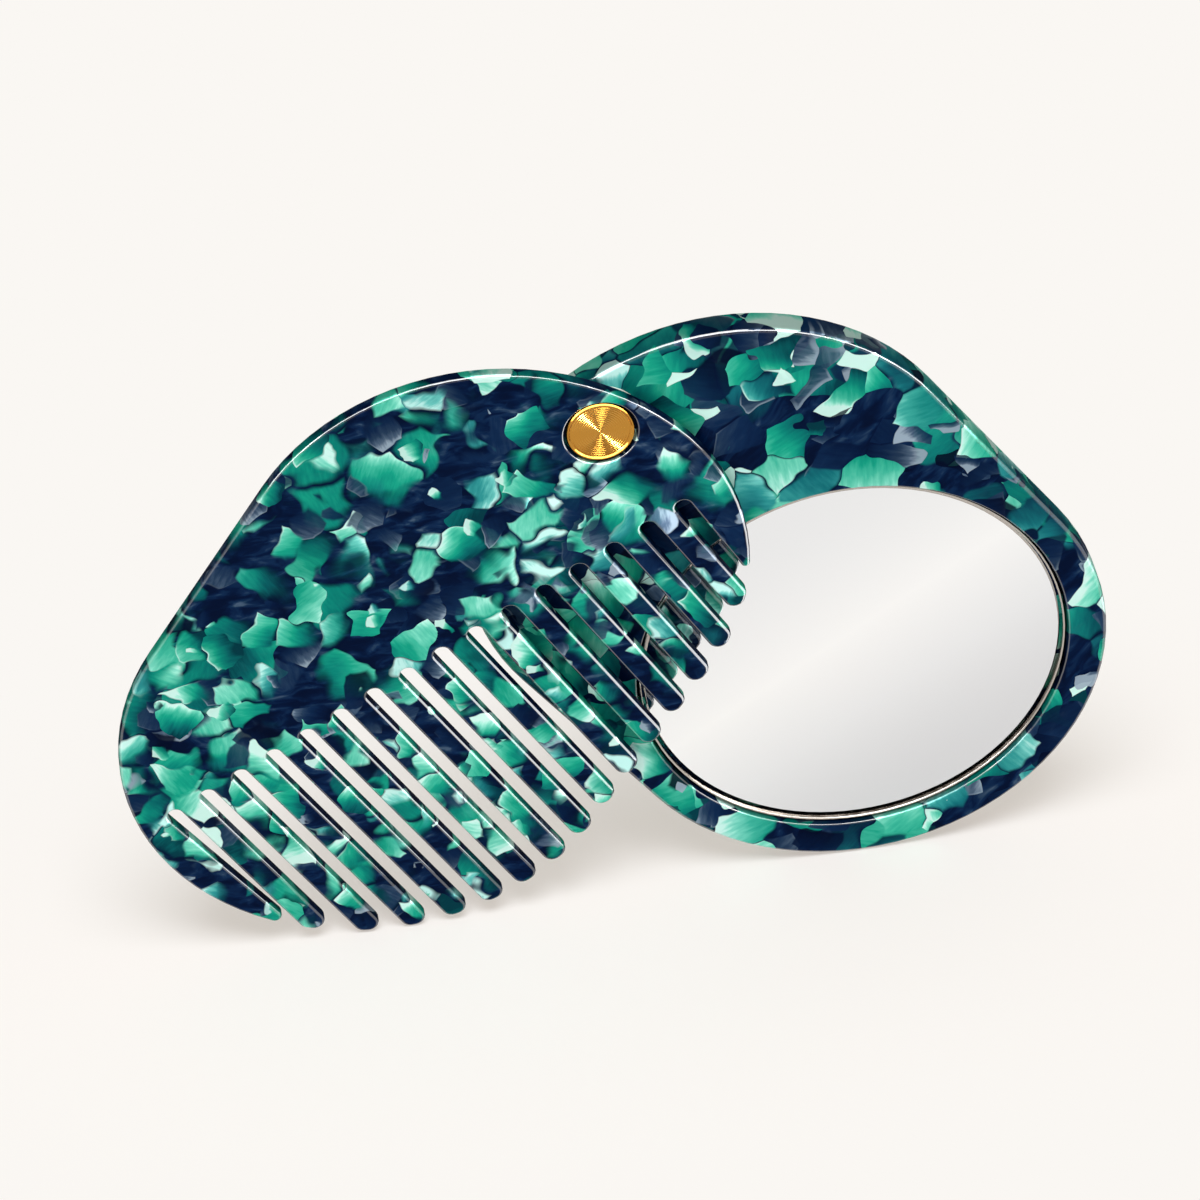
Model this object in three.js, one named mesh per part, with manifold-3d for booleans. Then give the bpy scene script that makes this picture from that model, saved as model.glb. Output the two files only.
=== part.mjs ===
// A pocket comb that folds over a round mirror.
// Two plates of one outline turn on a brass pivot: a thick one that holds the mirror
// in a round recess, and a thin one in front of it that is cut into seventeen teeth.
// Opened like the letter A, the part stands on the rim of the mirror plate and on the
// tips of the teeth, with its faces upright and its front towards -Y.
// Sizes are in millimetres.

import * as THREE from 'three';
import { mergeVertices } from 'three/addons/utils/BufferGeometryUtils.js';
import Module from 'manifold-3d';

const wasm = await Module();
wasm.setup();

// Outline that both plates share, drawn with the pivot at 0,0 and the long axis on +X
const HALF_WIDTH = 33; // also the radius of the far round end
const FAR_CENTRE = 55; // from the pivot to the centre of the far round end
const PIVOT_EDGE = 5.9; // material between the pivot axis and the near edge
const END_EXTRA = 2.9; // how much flatter the pivot end is than a half circle
const CORNER_RADIUS = 31.8; // blends the pivot end into the straight sides, at most HALF_WIDTH

// Sheets
const MIRROR_PLATE_T = 4;
const COMB_T = 1.8;
const MIRROR_PLATE_ROUND = 0.7; // polished edge
const COMB_ROUND = 0.5; // softer, so that the teeth don't scratch

// Teeth
const TOOTH_PITCH = 5.25;
const TOOTH_ANGLE = THREE.MathUtils.degToRad(65.2); // from the long axis
const FIRST_SLOT = 5.83; // across the teeth, from the far edge to the middle of the first slot
const LAST_WALL = 3; // least material from the last slot's closed end to the outline
const ROOT_LINE = 15.4; // along the teeth, from the pivot to the closed ends of the slots
const ROOT_RADIUS = 1; // closed end of a slot, and half of its width
const TIP_RADIUS = 1.4; // both corners of a tooth, where it ends on the outline
const FAR_TIP_RADIUS = 0.9; // tip of the narrow tooth at the far end
const FAR_TIP_LEAN = 1.3; // how far that tip leans over its slot
const NEAR_TIP_RADIUS = 0.6; // tip of the narrow tooth at the pivot end
const NEAR_TIP_LEAN = 0.3;

// Mirror and its seat
const GLASS_RADIUS = 27.5;
const GLASS_T = 1.5;
const GLASS_BEVEL = 0.25;
const MIRROR_CENTRE = 54.1; // from the pivot
const MIRROR_SINK = 1.25; // glass face below the plate's front face
const PAD_T = 0.25; // self-adhesive foam under the glass
const PAD_MARGIN = 1.5; // glass that the pad leaves bare at its edge
const BEZEL_WALL = 0.3;
const BEZEL_RISE = 0.65; // bezel above the glass face
const RIM_GAP = 0.3; // clearance from glass to bezel and from bezel to recess
const LIP_ROUND = 0.3; // polished lip of the recess

// Pivot
const POST_RADIUS = 2.5;
const POST_BORE_RADIUS = 1.6;
const HEAD_RADIUS = 4.3;
const HEAD_T = 0.55;
const HEAD_SINK = 0.2; // rim below the front of the comb
const HEAD_RIM_WIDTH = 0.45;
const HEAD_RIM_RISE = 0.15;
const SCREW_HEAD_RADIUS = 4;
const SCREW_HEAD_T = 0.9;
const SCREW_SINK = 0.2; // screw head below the back face
const SCREW_GRIP = 3; // thread inside the post
const SLOT_WIDTH = 0.9;
const SLOT_DEPTH = 0.45;
const POST_END_GAP = 0.3; // from the post's end to the screw's head
const RECESS_GAP = 0.3; // around each head
const HOLE_GAP = 0.1; // running clearance around the post
const THREAD_GAP = 0.1; // the thread itself is left out
const WASHER_RADIUS = 5.5; // slip washer between the plates
const WASHER_T = 0.6;
const SPRING_RADIUS = 4;
const SPRING_T = 0.12;
const SPRING_WAVE = 0.05; // height of the spring washer's waves
const SPRING_WAVES = 3;
const FACE_GAP = 0.05; // between faces that slide on each other

// Pose
const HALF_OPENING = THREE.MathUtils.degToRad(35); // each plate from the upright line

// Fineness of the round surfaces
const BIG_STEPS = 96; // around the mirror
const SMALL_STEPS = 48; // around the pivot
const ARC_STEP = THREE.MathUtils.degToRad(4.5); // along the outline
const TIP_STEP = THREE.MathUtils.degToRad(18); // around a tooth's tip or root
const ROUND_STEPS = 3; // across a polished edge

// Heights along the pivot, from the back face of the mirror plate
const washerBottom = MIRROR_PLATE_T + FACE_GAP;
const combBack = washerBottom + WASHER_T + FACE_GAP;
const combFront = combBack + COMB_T;
const headTop = combFront - HEAD_SINK;
const headBottom = headTop - HEAD_RIM_RISE - HEAD_T;
const springSpace = SPRING_T + 2 * SPRING_WAVE + 2 * FACE_GAP;
const springSeat = headBottom - springSpace;
const screwSeat = SCREW_SINK + SCREW_HEAD_T;
const glassFace = MIRROR_PLATE_T - MIRROR_SINK;
const glassBack = glassFace - GLASS_T;
const recessFloor = glassBack - PAD_T;
const bezelTop = glassFace + BEZEL_RISE;
const bezelInner = GLASS_RADIUS + RIM_GAP;
const bezelOuter = bezelInner + BEZEL_WALL;
const recessRadius = bezelOuter + RIM_GAP;
const holeRadius = POST_RADIUS + HOLE_GAP;

const MATERIALS = {
  acetate: material(0x1c6e70, 0.12, 0),
  mirror: material(0xd4d7da, 0.03, 1),
  steel: material(0xdcdcd8, 0.15, 1),
  brass: material(0xd9a441, 0.22, 1),
  bronze: material(0xb98a4e, 0.35, 1),
  nylon: material(0xe8e6dc, 0.5, 0),
  foam: material(0x2c2c2e, 0.9, 0),
};

function material(color, roughness, metalness) {
  return new THREE.MeshStandardMaterial({ color, roughness, metalness });
}

function solidOf(geometry) {
  const plain = geometry.index ? geometry.toNonIndexed() : geometry.clone();
  plain.deleteAttribute('normal');
  plain.deleteAttribute('uv');
  const merged = mergeVertices(plain, 1e-5);
  const mesh = new wasm.Mesh({
    numProp: 3,
    vertProperties: new Float32Array(merged.attributes.position.array),
    triVerts: new Uint32Array(merged.index.array),
  });
  return new wasm.Manifold(mesh);
}

function geometryOf(solid) {
  const mesh = solid.getMesh();
  const geometry = new THREE.BufferGeometry();
  geometry.setAttribute('position', new THREE.BufferAttribute(mesh.vertProperties, 3));
  geometry.setIndex(new THREE.BufferAttribute(mesh.triVerts, 1));
  geometry.computeVertexNormals();
  return geometry;
}

function cut(geometry, ...cutters) {
  let solid = solidOf(geometry);
  for (const cutter of cutters) {
    solid = solid.subtract(solidOf(cutter));
  }
  return geometryOf(solid);
}

function named(name, geometry, finish) {
  const mesh = new THREE.Mesh(geometry, finish);
  mesh.name = name;
  return mesh;
}

// A closed profile of radius and height turned about the Z axis
function turned(profile, steps) {
  const points = profile.map(([radius, height]) => new THREE.Vector2(radius, height));
  return new THREE.LatheGeometry(points, steps).rotateX(Math.PI / 2);
}

// Points of a round stretch, from one angle to another, anticlockwise when the angle grows
function arc(centre, radius, from, to, step = ARC_STEP) {
  const points = [];
  const steps = Math.max(1, Math.round(Math.abs(to - from) / step + 0.4));
  for (let i = 0; i <= steps; i += 1) {
    const angle = from + ((to - from) * i) / steps;
    const x = centre.x + radius * Math.cos(angle);
    const y = centre.y + radius * Math.sin(angle);
    points.push(new THREE.Vector2(x, y));
  }
  return points;
}

// Centres of the outline's round stretches
const endRadius = HALF_WIDTH + END_EXTRA;
const endCentre = new THREE.Vector2(endRadius - PIVOT_EDGE, 0);
const cornerRadius = Math.min(CORNER_RADIUS, HALF_WIDTH);
const cornerRise = HALF_WIDTH - cornerRadius;
const cornerSetback = Math.sqrt(END_EXTRA * (END_EXTRA + 2 * cornerRise));
const cornerCentre = new THREE.Vector2(endCentre.x - cornerSetback, cornerRise);
const lowerCornerCentre = new THREE.Vector2(cornerCentre.x, -cornerRise);
const farCentre = new THREE.Vector2(FAR_CENTRE, 0);
const blendAngle = cornerCentre.clone().sub(endCentre).angle();
const quarter = Math.PI / 2;

// The outline from the pivot end, under the axis and up the far end to an angle
function outlineTo(farAngle) {
  return [
    ...arc(endCentre, endRadius, Math.PI, 2 * Math.PI - blendAngle),
    ...arc(lowerCornerCentre, cornerRadius, 2 * Math.PI - blendAngle, 3 * quarter),
    ...arc(farCentre, HALF_WIDTH, -quarter, farAngle),
  ];
}

function plateOutline() {
  return [
    ...outlineTo(quarter),
    ...arc(cornerCentre, cornerRadius, quarter, blendAngle),
    ...arc(endCentre, endRadius, blendAngle, Math.PI),
  ];
}

// The stretch of outline that faces a point beside the teeth
function stretchAt(point) {
  if (point.x > farCentre.x) {
    return { centre: farCentre, radius: HALF_WIDTH };
  }
  if (point.clone().sub(endCentre).angle() > blendAngle) {
    return { centre: endCentre, radius: endRadius };
  }
  if (point.x < cornerCentre.x) {
    return { centre: cornerCentre, radius: cornerRadius };
  }
  return { centre: new THREE.Vector2(point.x, 0), radius: HALF_WIDTH };
}

// How far a point beside the teeth lies inside the outline
function inset(point) {
  const { centre, radius } = stretchAt(point);
  return radius - point.distanceTo(centre);
}

// The way to the nearest place on the outline
function outward(point) {
  const { centre } = stretchAt(point);
  return Math.atan2(point.y - centre.y, point.x - centre.x);
}

// A place on the comb, given across and along the teeth
function toothPoint(across, along) {
  const x = across * Math.sin(TOOTH_ANGLE) + along * Math.cos(TOOTH_ANGLE);
  const y = along * Math.sin(TOOTH_ANGLE) - across * Math.cos(TOOTH_ANGLE);
  return new THREE.Vector2(x, y);
}

// The centre of a round tip that touches the outline from inside
function tipCentre(across, radius) {
  let near = ROOT_LINE + ROOT_RADIUS;
  let far = near + 2 * HALF_WIDTH;
  while (far - near > 1e-6) {
    const middle = (near + far) / 2;
    if (inset(toothPoint(across, middle)) < radius) {
      far = middle;
    } else {
      near = middle;
    }
  }
  return toothPoint(across, near);
}

// Slots follow each other from the far end as long as the outline leaves room for one
const rootAlong = ROOT_LINE + ROOT_RADIUS;
const farEdge = farCentre.x * Math.sin(TOOTH_ANGLE) + HALF_WIDTH;
const slots = [];
let slotAcross = farEdge - FIRST_SLOT;
while (inset(toothPoint(slotAcross, rootAlong)) > ROOT_RADIUS + LAST_WALL) {
  slots.push(slotAcross);
  slotAcross -= TOOTH_PITCH;
}

const towardsPivot = TOOTH_ANGLE + quarter; // the side of a tooth that faces the pivot
const towardsFarEnd = TOOTH_ANGLE - quarter;

function combOutline() {
  const lastSlot = slots[slots.length - 1];
  const farOffset = ROOT_RADIUS + FAR_TIP_RADIUS - FAR_TIP_LEAN;
  const nearOffset = ROOT_RADIUS + NEAR_TIP_RADIUS - NEAR_TIP_LEAN;
  const firstTip = tipCentre(slots[0] + farOffset, FAR_TIP_RADIUS);
  const lastTip = tipCentre(lastSlot - nearOffset, NEAR_TIP_RADIUS);
  const firstTouch = outward(firstTip);
  const lastTouch = outward(lastTip);
  const cornerOffset = ROOT_RADIUS + TIP_RADIUS;

  const points = outlineTo(firstTouch);
  points.push(...arc(firstTip, FAR_TIP_RADIUS, firstTouch, towardsPivot, TIP_STEP));
  for (const across of slots) {
    const root = toothPoint(across, rootAlong);
    points.push(...arc(root, ROOT_RADIUS, towardsFarEnd, towardsPivot - 2 * Math.PI, TIP_STEP));
    if (across > lastSlot) {
      const far = tipCentre(across - cornerOffset, TIP_RADIUS);
      const near = tipCentre(across - TOOTH_PITCH + cornerOffset, TIP_RADIUS);
      points.push(...arc(far, TIP_RADIUS, towardsFarEnd, outward(far), TIP_STEP));
      points.push(...arc(near, TIP_RADIUS, outward(near), towardsPivot, TIP_STEP));
    }
  }
  points.push(...arc(lastTip, NEAR_TIP_RADIUS, towardsFarEnd, lastTouch, TIP_STEP));
  if (lastTouch < blendAngle) {
    points.push(...arc(cornerCentre, cornerRadius, lastTouch, blendAngle));
  }
  points.push(...arc(endCentre, endRadius, Math.max(lastTouch, blendAngle), Math.PI));
  return points;
}

function withoutRepeats(points) {
  const apart = (a, b) => a.distanceTo(b) > 1e-4;
  return points.filter((point, i) => apart(point, points[(i + 1) % points.length]));
}

// A sheet with polished round edges, standing on height 0
function sheet(points, thickness, round) {
  return new THREE.ExtrudeGeometry(new THREE.Shape(withoutRepeats(points)), {
    depth: thickness - 2 * round,
    bevelThickness: round,
    bevelSize: round,
    bevelOffset: -round,
    bevelSegments: ROUND_STEPS,
  }).translate(0, 0, round);
}

// A round cutter whose mouth flares out into a polished lip at the sheet's face
function recessCutter(radius, floor, face, steps) {
  const profile = [
    [0, floor],
    [radius, floor],
  ];
  for (let i = 0; i <= ROUND_STEPS; i += 1) {
    const angle = (quarter * i) / ROUND_STEPS;
    const flare = LIP_ROUND * (1 - Math.cos(angle));
    const height = face - LIP_ROUND * (1 - Math.sin(angle));
    profile.push([radius + flare, height]);
  }
  profile.push([radius + LIP_ROUND, face + LIP_ROUND], [0, face + LIP_ROUND]);
  return turned(profile, steps);
}

function boreCutter(radius, bottom, top) {
  return turned([[0, bottom], [radius, bottom], [radius, top], [0, top]], SMALL_STEPS);
}

function mirrorPlate() {
  const mirrorSeat = recessCutter(recessRadius, recessFloor, MIRROR_PLATE_T, BIG_STEPS);
  mirrorSeat.translate(MIRROR_CENTRE, 0, 0);
  const screwRecess = boreCutter(SCREW_HEAD_RADIUS + RECESS_GAP, -LIP_ROUND, screwSeat);
  const postHole = boreCutter(holeRadius, 0, MIRROR_PLATE_T + LIP_ROUND);
  const blank = sheet(plateOutline(), MIRROR_PLATE_T, MIRROR_PLATE_ROUND);
  const plate = cut(blank, mirrorSeat, screwRecess, postHole);
  return named('mirror_plate', plate, MATERIALS.acetate);
}

function mirrorPad() {
  const radius = GLASS_RADIUS - PAD_MARGIN;
  const pad = turned([[0, 0], [radius, 0], [radius, PAD_T], [0, PAD_T]], BIG_STEPS);
  return named('mirror_pad', pad.translate(MIRROR_CENTRE, 0, recessFloor), MATERIALS.foam);
}

function mirrorGlass() {
  const profile = [
    [0, glassBack],
    [GLASS_RADIUS, glassBack],
    [GLASS_RADIUS, glassFace - GLASS_BEVEL],
    [GLASS_RADIUS - GLASS_BEVEL, glassFace],
    [0, glassFace],
  ];
  const glass = turned(profile, BIG_STEPS).translate(MIRROR_CENTRE, 0, 0);
  return named('mirror_glass', glass, MATERIALS.mirror);
}

function mirrorBezel() {
  const soft = BEZEL_WALL / 3;
  const profile = [
    [bezelInner, recessFloor],
    [bezelOuter, recessFloor],
    [bezelOuter, bezelTop - soft],
    [bezelOuter - soft, bezelTop],
    [bezelInner + soft, bezelTop],
    [bezelInner, bezelTop - soft],
    [bezelInner, recessFloor],
  ];
  const ring = turned(profile, BIG_STEPS).translate(MIRROR_CENTRE, 0, 0);
  return named('mirror_bezel', ring, MATERIALS.steel);
}

function combPlate() {
  const blank = sheet(combOutline(), COMB_T, COMB_ROUND).translate(0, 0, combBack);
  const headRadius = HEAD_RADIUS + RECESS_GAP;
  const headRecess = recessCutter(headRadius, springSeat, combFront, SMALL_STEPS);
  const postHole = boreCutter(holeRadius, MIRROR_PLATE_T, springSeat + LIP_ROUND);
  return named('comb_plate', cut(blank, headRecess, postHole), MATERIALS.acetate);
}

// A flat ring around the post
function washer(radius, bottom, thickness) {
  const top = bottom + thickness;
  const profile = [[holeRadius, bottom], [radius, bottom], [radius, top], [holeRadius, top]];
  return turned([...profile, profile[0]], SMALL_STEPS);
}

function slipWasher() {
  return named('slip_washer', washer(WASHER_RADIUS, washerBottom, WASHER_T), MATERIALS.nylon);
}

function springWasher() {
  const middle = springSeat + FACE_GAP + SPRING_WAVE;
  const ring = washer(SPRING_RADIUS, middle, SPRING_T);
  const places = ring.attributes.position;
  for (let i = 0; i < places.count; i += 1) {
    const turn = Math.atan2(places.getY(i), places.getX(i));
    const wave = SPRING_WAVE * Math.cos(SPRING_WAVES * turn);
    places.setZ(i, places.getZ(i) + wave);
  }
  return named('spring_washer', ring, MATERIALS.bronze);
}

// The round brass head at the front, with its hollow post
function pivotPost() {
  const postEnd = screwSeat + POST_END_GAP;
  const boreTop = screwSeat + SCREW_GRIP + POST_END_GAP;
  const face = headTop - HEAD_RIM_RISE;
  const soft = HEAD_RIM_RISE;
  const profile = [
    [POST_BORE_RADIUS, postEnd],
    [POST_RADIUS, postEnd],
    [POST_RADIUS, headBottom],
    [HEAD_RADIUS - soft, headBottom],
    [HEAD_RADIUS, headBottom + soft],
    [HEAD_RADIUS, headTop - soft],
    [HEAD_RADIUS - soft, headTop],
    [HEAD_RADIUS - HEAD_RIM_WIDTH + soft, headTop],
    [HEAD_RADIUS - HEAD_RIM_WIDTH, face],
    [0, face],
    [0, boreTop],
    [POST_BORE_RADIUS, boreTop],
    [POST_BORE_RADIUS, postEnd],
  ];
  return named('pivot_post', turned(profile, SMALL_STEPS), MATERIALS.brass);
}

// The slotted screw that enters the post from the back
function pivotScrew() {
  const soft = HEAD_RIM_RISE;
  const shank = POST_BORE_RADIUS - THREAD_GAP;
  const profile = [
    [0, SCREW_SINK],
    [SCREW_HEAD_RADIUS - soft, SCREW_SINK],
    [SCREW_HEAD_RADIUS, SCREW_SINK + soft],
    [SCREW_HEAD_RADIUS, screwSeat],
    [shank, screwSeat],
    [shank, screwSeat + SCREW_GRIP],
    [0, screwSeat + SCREW_GRIP],
  ];
  const slot = new THREE.BoxGeometry(2 * SCREW_HEAD_RADIUS + 1, SLOT_WIDTH, 2 * SLOT_DEPTH);
  slot.translate(0, 0, SCREW_SINK);
  return named('pivot_screw', cut(turned(profile, SMALL_STEPS), slot), MATERIALS.brass);
}

// The mirror plate hangs to the right of the upright line through the pivot,
// and the comb by as much to the left of it
const mirrorSide = new THREE.Group();
mirrorSide.add(mirrorPlate(), mirrorPad(), mirrorGlass(), mirrorBezel());
mirrorSide.add(slipWasher(), pivotPost(), pivotScrew());
mirrorSide.rotation.z = HALF_OPENING - quarter;

const combSide = new THREE.Group();
combSide.add(combPlate(), springWasher());
combSide.rotation.z = -HALF_OPENING - quarter;

// Both far round ends touch the ground, and the front of the stack looks along -Y
const pivotHeight = FAR_CENTRE * Math.cos(HALF_OPENING) + HALF_WIDTH;
const mirrorComb = new THREE.Group();
mirrorComb.add(mirrorSide, combSide);
mirrorComb.rotation.x = quarter;
mirrorComb.position.set(0, combFront / 2, pivotHeight);

export default mirrorComb;
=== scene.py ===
# %% [markdown]
# # Pocket mirror comb, opened and standing
#
# The object is two sheets of patterned acetate that turn on a brass pivot: a thin one cut
# into comb teeth, and a thick one that holds a round mirror. Every size and every joint
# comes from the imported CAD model. This lesson adds what the model lacks: the finish of
# each material, the polish of the edges, a floor, lamps and a camera.

import math
from collections import namedtuple

import bmesh
import bpy
from mathutils import Matrix, Vector


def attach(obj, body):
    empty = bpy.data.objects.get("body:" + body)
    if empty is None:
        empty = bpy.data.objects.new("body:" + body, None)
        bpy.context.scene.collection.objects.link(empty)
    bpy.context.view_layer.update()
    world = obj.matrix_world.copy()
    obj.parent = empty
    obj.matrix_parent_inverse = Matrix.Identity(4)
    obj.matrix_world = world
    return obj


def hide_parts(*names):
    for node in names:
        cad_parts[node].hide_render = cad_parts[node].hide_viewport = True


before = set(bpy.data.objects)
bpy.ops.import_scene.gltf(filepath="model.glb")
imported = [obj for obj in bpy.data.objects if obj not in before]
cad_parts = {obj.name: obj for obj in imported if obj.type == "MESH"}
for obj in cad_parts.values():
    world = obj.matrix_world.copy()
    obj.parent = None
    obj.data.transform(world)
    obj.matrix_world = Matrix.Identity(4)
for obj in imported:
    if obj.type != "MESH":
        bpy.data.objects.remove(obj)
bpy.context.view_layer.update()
scene = bpy.context.scene
scene.view_settings.view_transform = "Standard"
print("nodes:", sorted(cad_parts))

# %% [markdown]
# ## The camera
#
# The object is looked at from a little left of its front and from 40 degrees above. A long
# lens keeps the two round plates free of distortion. The place was found by fitting a
# pinhole camera to the mirror's rim, the slots and the outlines of both plates.

# %% Camera
CAMERA_PLACE = (-0.04595, -0.45621, 0.43141)
CAMERA_TURN = (50.0918, 3.1451, -8.2219)
FILM_WIDTH = 36
LENS = 141

camera_data = bpy.data.cameras.new("camera")
camera_data.lens = LENS
camera_data.sensor_width = FILM_WIDTH
camera = bpy.data.objects.new("camera", camera_data)
camera.location = CAMERA_PLACE
camera.rotation_euler = [math.radians(angle) for angle in CAMERA_TURN]
scene.collection.objects.link(camera)
scene.camera = camera
print("camera is", round(Vector(CAMERA_PLACE).length, 3), "m from the ground point")

# %% [markdown]
# ## Small helpers for node trees
#
# A finish is a network of small texture and math steps. Writing each step takes several
# lines in Blender's own words, so two helpers make one step and join it to what it reads.
# A number is written on the socket itself, and only a socket makes a link.


# %% Node helpers
def feed(tree, socket, value):
    if isinstance(value, bpy.types.NodeSocket):
        tree.links.new(value, socket)
    else:
        socket.default_value = value


def step(tree, kind, inputs=(), **settings):
    node = tree.nodes.new("ShaderNode" + kind)
    for name, value in settings.items():
        setattr(node, name, value)
    for place, value in dict(inputs).items():
        feed(tree, node.inputs[place], value)
    return node


def calc(tree, operation, *values, clamp=False):
    node = step(tree, "Math", enumerate(values), operation=operation, use_clamp=clamp)
    return node.outputs[0]


def times(tree, product, *factors):
    for factor in factors:
        product = calc(tree, "MULTIPLY", product, factor)
    return product


def vector_calc(tree, operation, *values):
    node = step(tree, "VectorMath", enumerate(values), operation=operation)
    return node.outputs["Value" if operation in ("DOT_PRODUCT", "LENGTH") else "Vector"]


def fade(tree, value, low, high, start=0.0, end=1.0):
    """Runs smoothly from start to end while value goes from low to high."""
    span = {"From Min": low, "From Max": high, "To Min": start, "To Max": end}
    inputs = {"Value": value, **span}
    node = step(tree, "MapRange", inputs, interpolation_type="SMOOTHSTEP", clamp=True)
    return node.outputs["Result"]


def srgb(red, green, blue):
    """A colour read off a picture, as the linear colour that a shader wants."""
    linear = []
    for part in (red, green, blue):
        part /= 255
        linear.append(part / 12.92 if part <= 0.04045 else ((part + 0.055) / 1.055) ** 2.4)
    return (*linear, 1.0)


def ramp(tree, value, stops):
    node = step(tree, "ValToRGB", {"Fac": value})
    marks = node.color_ramp.elements
    while len(marks) < len(stops):
        marks.new(1.0)
    for mark, (place, colour) in zip(marks, stops):
        mark.position = place
        mark.color = srgb(*colour)
    return node.outputs["Color"]


def blend(tree, amount, first, second):
    node = step(tree, "Mix", data_type="RGBA")
    feed(tree, node.inputs["Factor"], amount)
    feed(tree, node.inputs["A"], first)
    feed(tree, node.inputs["B"], second)
    return node.outputs["Result"]


print("a mid grey in linear light:", round(srgb(128, 128, 128)[0], 3))

# %% [markdown]
# ## Floor
#
# The floor is plain warm white paper. Where the camera, a mirror or brass sees it, half of
# what is seen near the object is the bare paper colour, which softens the shadow, and
# farther out all of it is, so the background stays even. Light that is thrown back from
# the floor onto the object comes from the plain paper alone.

# %% Floor
PAPER = srgb(250, 247, 243)
LIT_PAPER = (0.94, 0.97, 1.0, 1.0)
BARE_PAPER = (0.98, 0.9, 0.83, 1.0)
FLOOR_SIZE = 3.0
PAPER_SHARE = 0.5
EVEN_BETWEEN = (0.035, 0.1)  # from the origin, where the floor turns into even paper
EVEN_SQUEEZE = (0.7, 1.5, 1.0)  # farther out to the sides than to the front and back


def seen_directly(tree):
    path = step(tree, "LightPath").outputs
    seen = calc(tree, "MAXIMUM", path["Is Camera Ray"], path["Is Glossy Ray"])
    return calc(tree, "MAXIMUM", seen, path["Is Transmission Ray"])


def floor_material():
    finish = bpy.data.materials.new("warm white paper")
    finish.use_nodes = True
    tree = finish.node_tree
    tree.nodes.clear()
    seen = seen_directly(tree)
    paper = step(tree, "BsdfDiffuse", {"Color": LIT_PAPER})
    bare = step(tree, "Emission", {"Color": BARE_PAPER, "Strength": 1.0})
    share = times(tree, seen, PAPER_SHARE)
    both = step(tree, "MixShader", {0: share, 1: paper.outputs[0], 2: bare.outputs[0]})
    far = step(tree, "Emission", {"Color": PAPER, "Strength": 1.0})
    own = step(tree, "TexCoord").outputs["Object"]
    squeezed = vector_calc(tree, "MULTIPLY", own, EVEN_SQUEEZE)
    away = fade(tree, vector_calc(tree, "LENGTH", squeezed), *EVEN_BETWEEN)
    plain = times(tree, seen, away)
    sweep = step(tree, "MixShader", {0: plain, 1: both.outputs[0], 2: far.outputs[0]})
    end = step(tree, "OutputMaterial")
    tree.links.new(sweep.outputs[0], end.inputs["Surface"])
    return finish


def floor_sheet():
    mesh = bpy.data.meshes.new("floor")
    form = bmesh.new()
    bmesh.ops.create_grid(form, x_segments=1, y_segments=1, size=FLOOR_SIZE)
    form.to_mesh(mesh)
    form.free()
    mesh.materials.append(floor_material())
    sheet = bpy.data.objects.new("floor", mesh)
    scene.collection.objects.link(sheet)


floor_sheet()
print("floor is", 2 * FLOOR_SIZE, "m wide")

# %% [markdown]
# ## Lamps
#
# One broad soft lamp hangs above and in front, as a softbox does in a studio, and the
# world fills the shadows with an even, slightly warm light. The other lamps are cards that
# count only where they are reflected. Seven of them stand in an arch over the camera, from
# the left to the right, and the rounded edges of both plates join their reflections into
# one bright line. A narrow strip and a small card draw the two fans of light on the brass,
# and a card that lies on the floor draws the line along the upper edges of the teeth.

# %% Lamps
AIM = Vector((0, 0, 0.045))
UP = Vector((0, 0, 1))
BACKWARD = Vector((0, 1, 0))
# name, where it stands, width and height, how bright its face is
SOFTBOX = ("softbox above", (-0.05, -0.34, 1.04), (0.7, 0.44), 9.5)
BRASS_STRIP = ("strip for the brass", (-0.42, -0.82, 0.1), (0.05, 0.5), 300.0)
BRASS_CARD = ("card for the brass", (0.14, -0.87, 0.19), (0.2, 0.2), 22.0)
TEETH_CARD = ("card for the teeth", (0.2, -0.065, 0.001), (0.33, 0.13), 4.2)
# ways from the object to the cards of the arch
ARCH = [
    (-0.82, -0.51, 0.26),
    (-0.66, -0.6, 0.48),
    (-0.32, -0.63, 0.7),
    (0.075, -0.64, 0.764),
    (0.47, -0.6, 0.65),
    (0.76, -0.52, 0.4),
    (0.9, -0.4, 0.18),
]
ARCH_AWAY = 0.85
ARCH_CARD = (0.27, 0.36)
ARCH_BRIGHTNESS = 8.5


def softbox(name, place, size, brightness, only_reflected=True, along=UP, aim=AIM):
    lamp = bpy.data.lights.new(name, "AREA")
    lamp.shape = "RECTANGLE"
    lamp.size, lamp.size_y = size
    lamp.energy = brightness * math.pi * size[0] * size[1]
    rig = bpy.data.objects.new(name, lamp)
    away = (Vector(place) - aim).normalized()
    side = along.cross(away).normalized()
    turned = Matrix((side, away.cross(side), away)).transposed().to_4x4()
    rig.matrix_world = Matrix.Translation(place) @ turned
    rig.visible_diffuse = not only_reflected
    rig.visible_camera = False
    scene.collection.objects.link(rig)
    print(name, "gives", round(lamp.energy, 2), "W")


softbox(*SOFTBOX, only_reflected=False)
softbox(*BRASS_STRIP)
softbox(*BRASS_CARD)
softbox(*TEETH_CARD, along=BACKWARD, aim=Vector(TEETH_CARD[1]) + UP)
for number, way in enumerate(ARCH):
    before, after = ARCH[max(number - 1, 0)], ARCH[min(number + 1, len(ARCH) - 1)]
    along = Vector(after) - Vector(before)
    place = AIM + Vector(way) * ARCH_AWAY
    softbox("arch card %d" % number, place, ARCH_CARD, ARCH_BRIGHTNESS, along=along)

# %% World
WORLD_LIGHT = 0.36
WARM_FILL = (1.0, 0.91, 0.79, 1.0)


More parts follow.
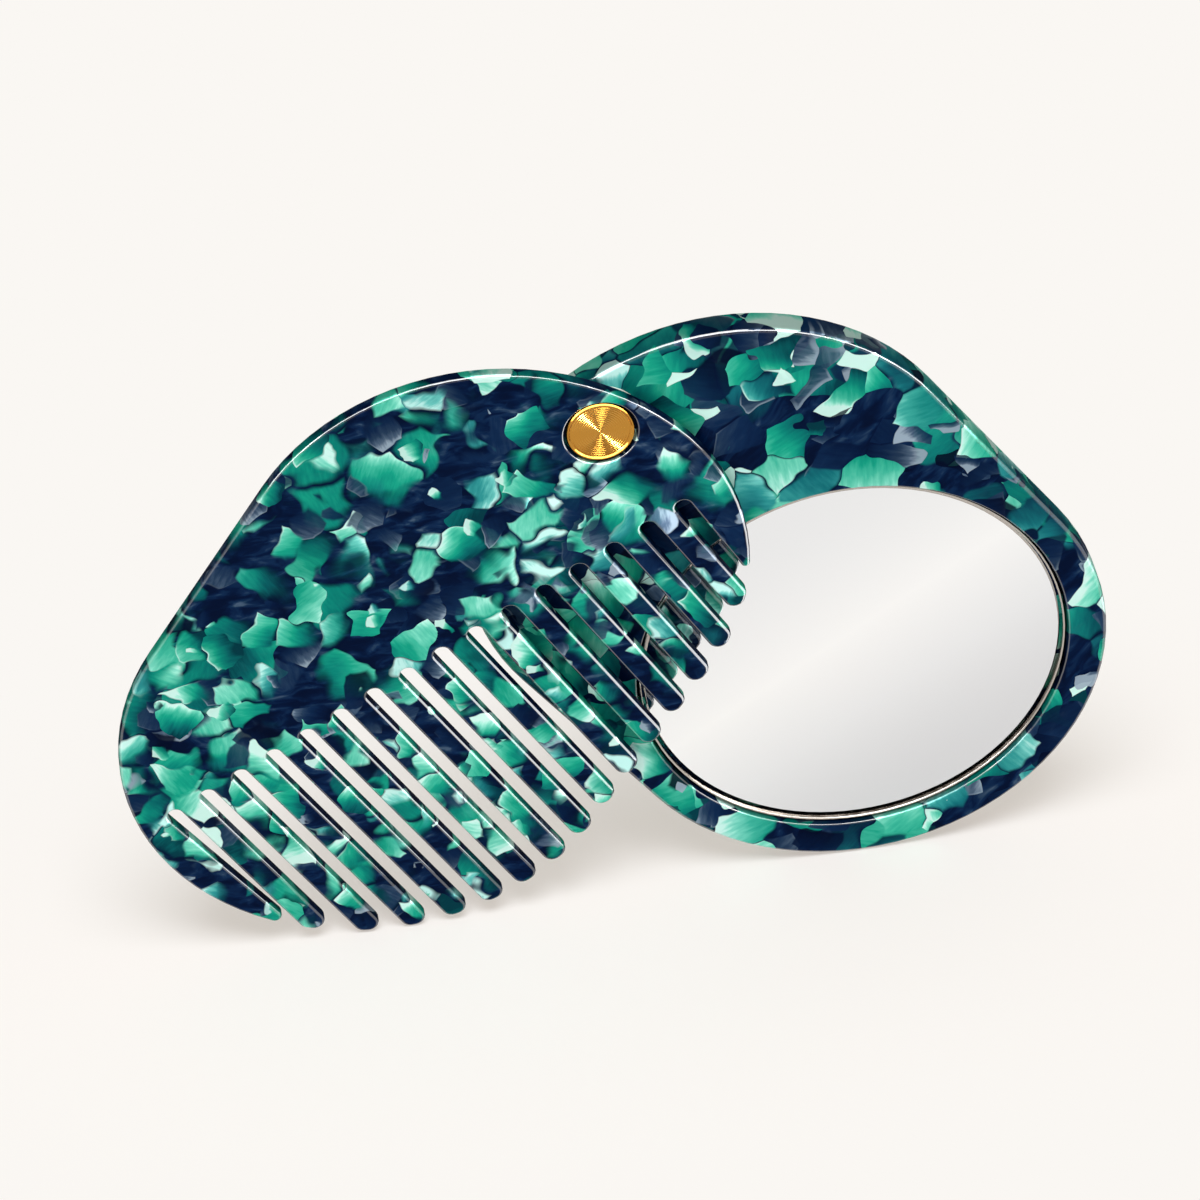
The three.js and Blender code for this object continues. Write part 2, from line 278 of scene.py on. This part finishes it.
def fill_world():
    world = bpy.data.worlds.new("studio")
    world.use_nodes = True
    scene.world = world
    tree = world.node_tree
    tree.nodes.clear()
    fill = step(tree, "Background", {"Color": WARM_FILL, "Strength": WORLD_LIGHT})
    bare = step(tree, "Background", {"Color": PAPER, "Strength": 1.0})
    seen = step(tree, "LightPath").outputs["Is Camera Ray"]
    both = step(tree, "MixShader", {0: seen, 1: fill.outputs[0], 2: bare.outputs[0]})
    end = step(tree, "OutputWorld")
    tree.links.new(both.outputs[0], end.inputs["Surface"])


fill_world()
print("the world gives", WORLD_LIGHT, "of what white paper would")

# %% [markdown]
# ## Patterned acetate
#
# The sheets are pressed from broken chips of pearly acetate, navy and sea green, that lie
# at all angles and in several depths. A chip near the surface has a sharp outline, and one
# deeper down is veiled and its outline is soft.
#
# Cells of a 3-D Voronoi texture make good chips: they have straight broken edges and run
# through the whole sheet, so the side walls show the chips cut through, as on the real
# one. The texture reads the object's own coordinates, turned into millimetres, and a noise
# bends the edges a little. Each cell also gives three random numbers, and everything that
# differs from chip to chip hangs on them.

# %% Chips from cells
WAVES_PER_CHIP = 1.2
# random colour and its three numbers, the chip's own place, the way from it, mm to its edge
Chips = namedtuple("Chips", "random own slope turn place middle edge")


def scaled(tree, vector, amount):
    node = step(tree, "VectorMath", {"Vector": vector}, operation="SCALE")
    feed(tree, node.inputs["Scale"], amount)
    return node.outputs["Vector"]


def any_way(tree, random):
    """Turns a random colour into an arrow that may point to any side."""
    return vector_calc(tree, "SUBTRACT", random, (0.5, 0.5, 0.5))


def chips_from_cells(tree, place, size, bend):
    near = scaled(tree, place, 1.0 / size)
    inputs = {"Vector": near, "Scale": WAVES_PER_CHIP, "Detail": 1.0}
    push = any_way(tree, step(tree, "TexNoise", inputs).outputs["Color"])
    near = vector_calc(tree, "ADD", near, scaled(tree, push, bend))
    inputs = {"Vector": near, "Scale": 1.0}
    cells = step(tree, "TexVoronoi", inputs, feature="F1").outputs
    walls = step(tree, "TexVoronoi", inputs, feature="DISTANCE_TO_EDGE").outputs
    numbers = step(tree, "SeparateColor", {"Color": cells["Color"]}).outputs
    middle = vector_calc(tree, "SUBTRACT", near, cells["Position"])
    edge = times(tree, walls["Distance"], size)
    return Chips(cells["Color"], *numbers.values(), cells["Position"], middle, edge)


print("each chip has", len(Chips._fields), "values")

# %% [markdown]
# ## Tone inside a chip
#
# The pearl in a chip lies in flat leaves. Each chip is painted brighter on one side than on
# the other, a painted sheen that stands in for the light its leaves reflect, and faint
# brush lines run along it. One number, the tone, holds its own value, its painted sheen and
# the lines, and a ramp of colours from dark to pale turns the tone into a shade. The sea
# green chips lie between two ramps, a green and a bluish one, and navy and slate share the
# third.

# %% Shades
EMERALD = [
    (0.0, (3, 62, 74)),
    (0.2, (8, 104, 106)),
    (0.4, (12, 140, 126)),
    (0.56, (26, 170, 142)),
    (0.72, (72, 198, 170)),
    (0.86, (122, 224, 200)),
    (0.95, (176, 246, 230)),
    (1.0, (212, 252, 244)),
]
TEAL = [
    (0.0, (6, 44, 68)),
    (0.25, (12, 74, 94)),
    (0.5, (22, 116, 126)),
    (0.75, (52, 158, 158)),
    (0.9, (112, 208, 202)),
    (1.0, (196, 246, 242)),
]
NAVY = [
    (0.0, (1, 12, 42)),
    (0.35, (4, 26, 62)),
    (0.6, (14, 42, 80)),
    (0.76, (40, 64, 94)),
    (0.9, (84, 106, 132)),
    (1.0, (158, 178, 196)),
]
# colours of the painted glints along the bright edges of chips
SEA_GLINT = (206, 246, 238)
SLATE_GLINT = (150, 172, 190)
print("shades:", len(EMERALD), "emerald,", len(TEAL), "teal,", len(NAVY), "navy")

# %% Tone inside a chip
BRUSH_STRETCH = (1.9, 0.5, 0.4)
BRUSH_DEPTH = 0.3
AROUND_THICKNESS = (0, 1, 0)  # the axis that the brush lines are turned around


def brush_lines(tree, place, turn):
    angle = times(tree, turn, math.tau)
    inputs = {"Vector": place, "Axis": AROUND_THICKNESS, "Angle": angle}
    turned = step(tree, "VectorRotate", inputs, rotation_type="AXIS_ANGLE").outputs[0]
    stretched = vector_calc(tree, "MULTIPLY", turned, BRUSH_STRETCH)
    lines = step(tree, "TexNoise", {"Vector": stretched, "Scale": 1.0, "Detail": 3.0})
    return times(tree, calc(tree, "SUBTRACT", lines.outputs["Fac"], 0.5), BRUSH_DEPTH)


def chip_tone(tree, place, chips, spread, shine_spread):
    """How far a chip is from its layer's middle tone, and the part of it that is painted
    sheen.
    """
    toward = vector_calc(tree, "DOT_PRODUCT", chips.middle, any_way(tree, chips.random))
    # painted sheen: the chip is painted brighter toward one random side
    shine = times(tree, toward, shine_spread)
    tone = times(tree, calc(tree, "SUBTRACT", chips.own, 0.5), spread)
    tone = calc(tree, "ADD", tone, shine)
    return calc(tree, "ADD", tone, brush_lines(tree, place, chips.turn)), shine


print("brush lines change the tone by up to", BRUSH_DEPTH / 2)

# %% [markdown]
# ## Chips over chips
#
# One Voronoi texture alone looks like a tiled floor. On the real sheet the chips float in
# deep navy, some lie over others, and only a part of each is seen. Each layer below
# therefore keeps only some of its cells and leaves a gap around some of them, so that the
# layers beneath show there. Green chips keep to their own regions, because each layer asks
# the same slow noise at the chip's own middle.

# %% Layers, from the deepest to the top one
Layer = namedtuple(
    "Layer",
    "name region colours kept opaque size bend gap softest tone spread shine glint",
    defaults=(None,),
)
# size, gap and softest outline are in mm, and kept is the share of cells that hold a chip
LAYERS = [
    Layer(
        "deep green", region="green", colours="sea green", kept=0.94, opaque=0.95,
        size=7.0, bend=1.0, gap=0.0, softest=2.4, tone=0.45, spread=0.5, shine=1.5,
    ),
    Layer(
        "slate leaf", region="navy", colours="navy", kept=0.85, opaque=0.9,
        size=5.0, bend=0.4, gap=0.06, softest=1.3, tone=0.66, spread=0.32, shine=1.0,
        glint=SLATE_GLINT,
    ),
    Layer(
        "navy chip", region="any", colours="navy", kept=0.14, opaque=0.95,
        size=5.2, bend=0.5, gap=0.05, softest=1.4, tone=0.46, spread=0.5, shine=1.6,
    ),
    Layer(
        "sea green", region="green", colours="sea green", kept=0.7, opaque=1.0,
        size=5.2, bend=0.72, gap=0.0, softest=1.9, tone=0.75, spread=0.62, shine=1.8,
        glint=SEA_GLINT,
    ),
    # pale splinters: partly pale pearl chips, partly painted glints of pearl
    Layer(
        "pale splinter", region="any", colours="as around it", kept=0.045, opaque=0.9,
        size=2.7, bend=0.6, gap=0.12, softest=0.6, tone=0.86, spread=0.3, shine=2.2,
    ),
]
print("layers:", [layer.name for layer in LAYERS])

# %% Where the green chips lie, and the colours of a chip
REGION_SCALE = 0.1  # one over the size of a region in mm
STRAY = 0.45  # weight of a chip's own number, so that some stray out of their region
GREEN_FROM = 0.715
BLUISH_BETWEEN = (0.55, 0.85)


def in_green(tree, chip_place, number, lean):
    inputs = {"Vector": chip_place, "Scale": REGION_SCALE, "Detail": 1.0}
    region = step(tree, "TexNoise", inputs).outputs["Fac"]
    mixed = calc(tree, "MULTIPLY_ADD", number, STRAY, region)
    return calc(tree, "GREATER_THAN", calc(tree, "ADD", mixed, lean), GREEN_FROM)


def chip_colour(tree, layer, chips, tone, green):
    if layer.colours == "navy":
        return ramp(tree, tone, NAVY)
    bluish = fade(tree, chips.slope, *BLUISH_BETWEEN)
    sea = blend(tree, bluish, ramp(tree, tone, EMERALD), ramp(tree, tone, TEAL))
    if layer.colours == "sea green":
        return sea
    return blend(tree, green, ramp(tree, tone, NAVY), sea)


print("regions are about", 1 / REGION_SCALE, "mm wide")

# %% [markdown]
# ## The outline of a chip
#
# A chip that slopes down into the sheet has a soft outline where it is deep, on its dark
# side, and a sharp one where it comes up, on its bright side; both sides are those of the
# painted sheen. A veil makes all outlines softer. Some chips touch their neighbours, and
# the others end a little before them. Where a bright side ends, a thin pale rim is painted
# along the broken edge, a painted glint that stands in for light the edge would catch.

# %% Outline and rim
SHARPEST = 0.07  # mm over which the sharpest outline fades
DARK_SIDE, BRIGHT_SIDE = -0.225, 0.15  # shares of the layer's shine
DARK_SOFTNESS, BRIGHT_SOFTNESS = 1.6, 0.15
VEIL_PARTS, TOUCH_BELOW = 0.25, 0.5  # a veil leaves fewer chips that touch
# width, place on the painted sheen and strength of the painted glint
RIM_WIDTH = (0.08, 0.3)
RIM_SHINE = (0.05, 0.3)
RIM_STRENGTH = 0.9


def chip_cover(tree, layer, chips, into, shine, green, veil):
    """How much a chip hides of what lies below it."""
    deep, shallow = DARK_SIDE * layer.shine, BRIGHT_SIDE * layer.shine
    sunk = fade(tree, shine, deep, shallow, DARK_SOFTNESS, BRIGHT_SOFTNESS)
    soft = times(tree, chips.slope, veil, layer.softest, sunk)
    cover = calc(tree, "DIVIDE", into, calc(tree, "ADD", soft, SHARPEST), clamp=True)
    apart = calc(tree, "MULTIPLY_ADD", veil, VEIL_PARTS, chips.slope)
    cover = calc(tree, "MAXIMUM", cover, calc(tree, "LESS_THAN", apart, TOUCH_BELOW))
    shown = calc(tree, "LESS_THAN", chips.own, layer.kept)
    if layer.region == "green":
        shown = times(tree, shown, green)
    if layer.region == "navy":
        shown = times(tree, shown, calc(tree, "SUBTRACT", 1.0, green))
    return times(tree, fade(tree, cover, 0.0, 1.0, 0.0, layer.opaque), shown)


def painted_glint_rim(tree, colour, glint, into, shine, cover):
    # painted glint: a pale line along a chip's edge on its bright side
    rim = times(tree, fade(tree, into, *RIM_WIDTH, 1.0, 0.0), cover)
    rim = times(tree, rim, fade(tree, shine, *RIM_SHINE, 0.0, RIM_STRENGTH))
    return blend(tree, rim, colour, srgb(*glint))


print("outlines fade over", SHARPEST, "mm or more")

# %% [markdown]
# ## The sheet's pattern
#
# The layers are laid over a ground of deep navy with faint clouds. Besides the colour, the
# pattern hands on two more things. Pearl says how metallic the shine is, and is strongest
# in the bright parts. The normal is tilted by each chip's own leaf, so that neighbours
# catch the light differently. Both plates share one group of nodes, which is told the
# place, how veiled the chips are, how far green leads over navy, and how much all chips
# are lifted in tone.

# %% The sheet's pattern
TOLD = {"Place": "Vector", "Veil": "Float", "Green": "Float", "Lift": "Float"}
HANDED_ON = {"Color": "Color", "Pearl": "Float", "Normal": "Vector"}
GROUND_STRETCH = (0.22, 0.3, 0.5)
GROUND_PEARL = 0.1
CHIP_PEARL = 0.5
LAYER_SHIFT = (13.7, 5.1, 29.3)  # mm, so that no layer repeats the one below
LEAF_TILT = 0.6


def lay_chips(tree, given, number, layer, below):
    """Lays one layer over the colour, pearl and leaf that are below it."""
    colour, pearl, leaf = below
    shift = [part * number for part in LAYER_SHIFT]
    place = vector_calc(tree, "ADD", given["Place"], shift)
    chips = chips_from_cells(tree, place, layer.size, layer.bend)
    tone, shine = chip_tone(tree, place, chips, layer.spread, layer.shine)
    if layer.region != "navy":
        tone = calc(tree, "ADD", tone, given["Lift"])
    tone = calc(tree, "ADD", tone, layer.tone, clamp=True)

    chip_place = vector_calc(tree, "SUBTRACT", scaled(tree, chips.place, layer.size), shift)
    green = in_green(tree, chip_place, chips.turn, given["Green"])
    into = calc(tree, "SUBTRACT", chips.edge, layer.gap)
    cover = chip_cover(tree, layer, chips, into, shine, green, given["Veil"])
    colour = blend(tree, cover, colour, chip_colour(tree, layer, chips, tone, green))
    if layer.glint:
        colour = painted_glint_rim(tree, colour, layer.glint, into, shine, cover)

    shining = fade(tree, tone, 0.5, 1.0, 0.0, CHIP_PEARL)
    more = calc(tree, "SUBTRACT", shining, pearl)
    pearl = calc(tree, "MULTIPLY_ADD", more, cover, pearl)
    return colour, pearl, blend(tree, cover, leaf, chips.random)


def sheet_pattern():
    tree = bpy.data.node_groups.new("pressed chips", "ShaderNodeTree")
    for side, sockets in (("INPUT", TOLD), ("OUTPUT", HANDED_ON)):
        for name, kind in sockets.items():
            tree.interface.new_socket(name, in_out=side, socket_type="NodeSocket" + kind)
    given = tree.nodes.new("NodeGroupInput").outputs

    stretched = vector_calc(tree, "MULTIPLY", given["Place"], GROUND_STRETCH)
    inputs = {"Vector": stretched, "Scale": 1.0, "Detail": 3.0, "Distortion": 0.6}
    cloud = step(tree, "TexNoise", inputs).outputs
    colour = ramp(tree, fade(tree, cloud["Fac"], 0.35, 0.75, 0.1, 0.85), NAVY)
    below = (colour, times(tree, cloud["Fac"], GROUND_PEARL), cloud["Color"])
    for number, layer in enumerate(LAYERS):
        below = lay_chips(tree, given, number, layer, below)

    colour, pearl, leaf = below
    normal = step(tree, "NewGeometry").outputs["Normal"]
    tilt = scaled(tree, any_way(tree, leaf), LEAF_TILT)
    tilted = vector_calc(tree, "NORMALIZE", vector_calc(tree, "ADD", normal, tilt))
    end = tree.nodes.new("NodeGroupOutput")
    for name, value in (("Color", colour), ("Pearl", pearl), ("Normal", tilted)):
        feed(tree, end.inputs[name], value)
    return tree


PRESSED_CHIPS = sheet_pattern()
print("chip pattern has", len(PRESSED_CHIPS.nodes), "steps")

# %% [markdown]
# ## From pattern to acetate
#
# Side walls and rounded edges are painted darker than the faces, a painted shade along
# every outline. The back of the sheet is painted with a faint glow in the colours of the
# chips, a painted glow that stands in for light coming through the sheet, and it is seen in
# the mirror through the slots. Only the rounded edges are buffed to a high gloss, because
# there alone the real one draws bright lines, and a coat over the flat faces would lay a
# haze over the chips. The two plates are cut from different places of one stock: the comb's
# chips are smaller and more veiled, those of the mirror plate larger, sharper and paler.

# %% Acetate material
WALL, FACE = 0.3, 0.96  # how far a normal points to the front or the back, from 0 to 1
PAINTED_WALL_SHADE = 0.5
# painted glow: the back emits this share of the chips' colour, for light let through
PAINTED_BACK_GLOW = 0.2  # share of the light on the front that comes out at the back of the sheet
ROUND_FROM_WALL = (0.5, 0.66)
ROUND_TO_FACE = (0.99, 0.93)
FACE_COAT = 0.015
POLISH = {
    "Roughness": 0.38,
    "Specular IOR Level": 0.0,
    "Coat Roughness": 0.03,
    "Coat IOR": 2.1,
    # strength of the painted glow at the back
    "Emission Strength": 1.0,
}


def acetate(name, per_metre, shift, turn, veil, green, lift):
    finish = bpy.data.materials.new(name)
    finish.use_nodes = True
    finish.cycles.emission_sampling = "NONE"  # the glow is too faint to be a lamp
    tree = finish.node_tree
    shader = tree.nodes["Principled BSDF"]
    for socket, value in POLISH.items():
        shader.inputs[socket].default_value = value

    own = step(tree, "TexCoord").outputs["Object"]
    inputs = {"Vector": own, "Scale": (per_metre,) * 3, "Location": shift, "Rotation": turn}
    place = step(tree, "Mapping", inputs).outputs[0]
    chips = tree.nodes.new("ShaderNodeGroup")
    chips.node_tree = PRESSED_CHIPS
    told = {"Place": place, "Veil": veil, "Green": green, "Lift": lift}
    for socket, value in told.items():
        feed(tree, chips.inputs[socket], value)
    feed(tree, shader.inputs["Metallic"], chips.outputs["Pearl"])
    feed(tree, shader.inputs["Normal"], chips.outputs["Normal"])

    normal = step(tree, "NewGeometry").outputs["Normal"]
    backward = step(tree, "SeparateXYZ", {0: normal}).outputs["Y"]
    facing = calc(tree, "ABSOLUTE", backward)
    # painted shade: walls and rounded edges get a darker base colour
    painted_shade = fade(tree, facing, WALL, FACE, PAINTED_WALL_SHADE, 1.0)
    feed(tree, shader.inputs["Base Color"], scaled(tree, chips.outputs["Color"], painted_shade))
    # painted glow at the back of the sheet, seen in the mirror through the slots
    painted_glow = fade(tree, backward, WALL, FACE, 0.0, PAINTED_BACK_GLOW)
    feed(tree, shader.inputs["Emission Color"], scaled(tree, chips.outputs["Color"], painted_glow))
    outer, inner = fade(tree, facing, *ROUND_FROM_WALL), fade(tree, facing, *ROUND_TO_FACE)
    rounded = times(tree, outer, inner)
    buffed = calc(tree, "MULTIPLY_ADD", rounded, 1.0 - FACE_COAT, FACE_COAT)
    feed(tree, shader.inputs["Coat Weight"], buffed)
    return finish


COMB_ACETATE = acetate(
    "acetate of the comb", per_metre=1200.0, shift=(3.0, 0.0, 7.0), turn=(0, 0, 0),
    veil=1.7, green=0.04, lift=0.01,
)
MIRROR_ACETATE = acetate(
    "acetate of the mirror plate", per_metre=930.0, shift=(61.0, 4.0, -20.0),
    turn=(0, 0.9, 0), veil=0.2, green=0.016, lift=0.12,
)
print("two acetates from one group of nodes")

# %% [markdown]
# ## Mirror, metals and hidden parts
#
# The glass is a clean front with a silvered back, so it is simply a very smooth metal,
# with a painted reflection: a brighter band painted across it. Its bezel is a polished
# strip. The pivot's head was faced on a lathe: fine rings around the axis spread each
# reflection into two fans, and a bump of rings does the same. The wave washer is dull
# strip, the slip washer is plain nylon, and the pad is foam. On each of them the roughness
# wanders a little, as it does on anything that was handled.


# %% Helpers for the small parts
def plain_finish(name, colour, metallic, roughness):
    finish = bpy.data.materials.new(name)
    finish.use_nodes = True
    shader = finish.node_tree.nodes["Principled BSDF"]
    shader.inputs["Base Color"].default_value = colour
    shader.inputs["Metallic"].default_value = metallic
    shader.inputs["Roughness"].default_value = roughness
    return finish, finish.node_tree, shader


def speckle(tree, scale, low, high):
    """A value that wanders between low and high, in spots of about 1000/scale mm."""
    own = step(tree, "TexCoord").outputs["Object"]
    noise = step(tree, "TexNoise", {"Vector": own, "Scale": scale, "Detail": 2.0})
    return fade(tree, noise.outputs["Fac"], 0.3, 0.7, low, high)


def bump(tree, shader, height, distance, strength=1.0):
    inputs = {"Height": height, "Distance": distance, "Strength": strength}
    node = step(tree, "Bump", inputs)
    feed(tree, shader.inputs["Normal"], node.outputs["Normal"])


print("finishes so far:", len(bpy.data.materials))

# %% Glass and bezel
# silver tones across the glass, with a painted reflection band brighter in the middle
SILVER_WITH_PAINTED_BAND = [
    (0.0, (238, 240, 243)),
    (0.4, (253, 254, 255)),
    (0.72, (238, 240, 243)),
    (1.0, (220, 222, 226)),
]
# the way along which the painted reflection band runs
DOWN_THE_GLASS = (0.55, 0.0, -0.83)
PAINTED_BAND_BETWEEN = (-0.038, 0.017)  # m in that direction, from the origin


def silvered_glass():
    finish, tree, shader = plain_finish("silvered glass", (0.9, 0.9, 0.91, 1), 1.0, 0.02)
    feed(tree, shader.inputs["Roughness"], speckle(tree, 60.0, 0.01, 0.035))
    own = step(tree, "TexCoord").outputs["Object"]
    # painted reflection: the glass is brighter in a band along this way
    diagonal = vector_calc(tree, "DOT_PRODUCT", own, DOWN_THE_GLASS)
    silver_with_painted_band = ramp(tree, fade(tree, diagonal, *PAINTED_BAND_BETWEEN), SILVER_WITH_PAINTED_BAND)
    feed(tree, shader.inputs["Base Color"], silver_with_painted_band)
    return finish


def polished_steel():
    finish, tree, shader = plain_finish("polished steel", (0.5, 0.46, 0.42, 1), 1.0, 0.12)
    feed(tree, shader.inputs["Roughness"], speckle(tree, 900.0, 0.08, 0.16))
    return finish


GLASS = silvered_glass()
STEEL = polished_steel()
print("silver has", len(SILVER_WITH_PAINTED_BAND), "shades across the glass")

# %% Brass and bronze
PIVOT_HEIGHT = 0.078053
FACED_RADIUS = 0.0038  # the rim outside it is polished
RINGS = 1100.0
RING_DEPTH = 0.00005


def turned_brass():
    finish, tree, shader = plain_finish("turned brass", srgb(190, 136, 56), 1.0, 0.2)
    own = step(tree, "TexCoord").outputs["Object"]
    centred = step(tree, "Mapping", {"Vector": own, "Location": (0, 0, -PIVOT_HEIGHT)})
    centred = centred.outputs[0]
    inputs = {"Vector": centred, "Scale": RINGS, "Distortion": 0.6, "Detail": 2.0}
    rings = step(tree, "TexWave", inputs, wave_type="RINGS", rings_direction="Y")
    off_axis = vector_calc(tree, "MULTIPLY", centred, (1.0, 0.0, 1.0))
    faced = calc(tree, "LESS_THAN", vector_calc(tree, "LENGTH", off_axis), FACED_RADIUS)
    bump(tree, shader, times(tree, rings.outputs["Fac"], faced), RING_DEPTH)
    feed(tree, shader.inputs["Roughness"], speckle(tree, 700.0, 0.11, 0.17))
    return finish


def spring_bronze():
    finish, tree, shader = plain_finish("spring bronze", srgb(170, 122, 70), 1.0, 0.4)
    feed(tree, shader.inputs["Roughness"], speckle(tree, 1200.0, 0.3, 0.5))
    return finish


BRASS = turned_brass()
BRONZE = spring_bronze()
print("the faced part of the head is", 2000 * FACED_RADIUS, "mm wide")

# %% Nylon and foam
GRAIN_DEPTH = 0.00002
PORE_DEPTH = 0.00004


def plain_nylon():
    finish, tree, shader = plain_finish("plain nylon", srgb(228, 226, 218), 0.0, 0.5)
    bump(tree, shader, speckle(tree, 4000.0, 0.0, 1.0), GRAIN_DEPTH, 0.4)
    feed(tree, shader.inputs["Roughness"], speckle(tree, 800.0, 0.42, 0.58))
    return finish


def black_foam():
    finish, tree, shader = plain_finish("black foam", srgb(44, 44, 46), 0.0, 0.9)
    bump(tree, shader, speckle(tree, 6000.0, 0.0, 1.0), PORE_DEPTH, 0.7)
    return finish


NYLON = plain_nylon()
FOAM = black_foam()
print("finishes:", len(bpy.data.materials))

# %% [markdown]
# ## Polished copies of the parts
#
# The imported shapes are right, but they are made of flat facets, and a polished edge shows
# each facet as a broken highlight. A copy of the same mesh is merged into one skin, its
# flat faces are joined, its edges are marked sharp where the part really has an edge, and
# the rest is shaded smooth. Face area weights keep the big flat faces truly flat. The
# copy has exactly the part's shape and takes its place. The two parts that hardly show
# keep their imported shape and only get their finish.

# %% Polished copies
MERGE = 1e-6
FLAT_WITHIN = 0.4  # degrees between faces that are joined


def one_skin(source, name, sharp_angle):
    form = bmesh.new()
    form.from_mesh(source)
    bmesh.ops.remove_doubles(form, verts=form.verts, dist=MERGE)
    flat = math.radians(FLAT_WITHIN)
    bmesh.ops.dissolve_limit(form, angle_limit=flat, verts=form.verts, edges=form.edges)
    for face in form.faces:
        face.smooth = True
        face.material_index = 0
    limit = math.radians(sharp_angle)
    for edge in form.edges:
        edge.smooth = edge.calc_face_angle(0.0) < limit
    mesh = bpy.data.meshes.new(name)
    form.to_mesh(mesh)
    form.free()
    return mesh


def polished(node, body, finish, sharp_angle=38):
    mesh = one_skin(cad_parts[node].data, node + "_polished", sharp_angle)
    mesh.materials.append(finish)
    piece = bpy.data.objects.new(node + "_polished", mesh)
    scene.collection.objects.link(piece)
    weighted = piece.modifiers.new("flat faces first", "WEIGHTED_NORMAL")
    weighted.mode = "FACE_AREA"
    weighted.weight = 100
    weighted.keep_sharp = True
    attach(piece, body)
    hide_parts(node)
    print(node, "->", len(mesh.polygons), "faces")
    return piece


polished("mirror_plate", "mirror_side", MIRROR_ACETATE)
comb = polished("comb_plate", "comb_side", COMB_ACETATE)
glass = polished("mirror_glass", "mirror_side", GLASS, 30)
glass.visible_diffuse = False  # else it throws a bright patch of lamp light on the floor
polished("mirror_bezel", "mirror_side", STEEL, 50)
post = polished("pivot_post", "mirror_side", BRASS, 40)
polished("pivot_screw", "mirror_side", BRASS, 40)
polished("slip_washer", "mirror_side", NYLON)

for node, finish in (("spring_washer", BRONZE), ("mirror_pad", FOAM)):
    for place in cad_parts[node].material_slots:
        place.material = finish

# %% [markdown]
# ## Lamps that belong to one piece
#
# The strip and the cards near the object are bright enough to burn spots into any edge
# that happens to reflect them. In a studio, black flags would keep their light off the
# rest. Here each of them shines on its own piece only.


# %% Lamps kept for one piece
def shines_only_on(lamp_name, piece):
    lit = bpy.data.collections.new("lit by the " + lamp_name)
    lit.objects.link(piece)
    bpy.data.objects[lamp_name].light_linking.receiver_collection = lit
    print(lamp_name, "shines on", piece.name)


shines_only_on(BRASS_STRIP[0], post)
shines_only_on(BRASS_CARD[0], post)
shines_only_on(TEETH_CARD[0], comb)
